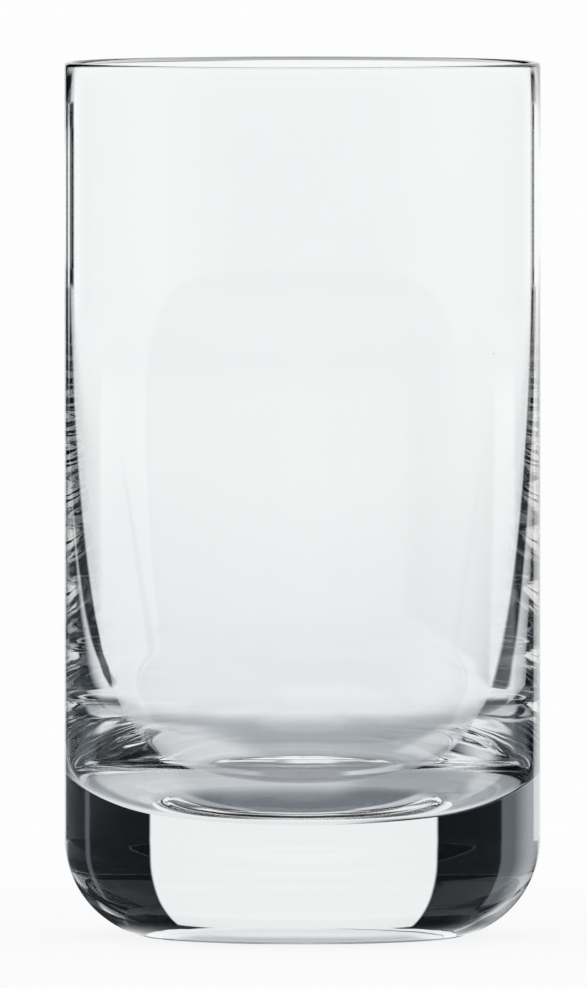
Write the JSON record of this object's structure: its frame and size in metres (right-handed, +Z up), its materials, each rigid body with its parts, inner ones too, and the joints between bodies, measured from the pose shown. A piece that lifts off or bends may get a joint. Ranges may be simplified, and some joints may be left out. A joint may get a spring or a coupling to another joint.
{
  "type": "juice glass",
  "caption": "Straight clear drinking tumbler with a thin fire-polished rim, a wall that thickens downwards, a round inner floor and a heavy base with a rounded heel.",
  "frame": {"origin": "on the table, under the middle of the foot", "axes": "+Z up, along the glass's own axis; the glass is round, so X and Y are free"},
  "size_m": [0.064, 0.064, 0.1175],
  "materials": {
    "glass": "clear polished soda-lime glass with a very faint cool tint"
  },
  "bodies": {
    "root": {"base": "glass", "wall": "glass", "rim": "glass"}
  },
  "joints": []
}
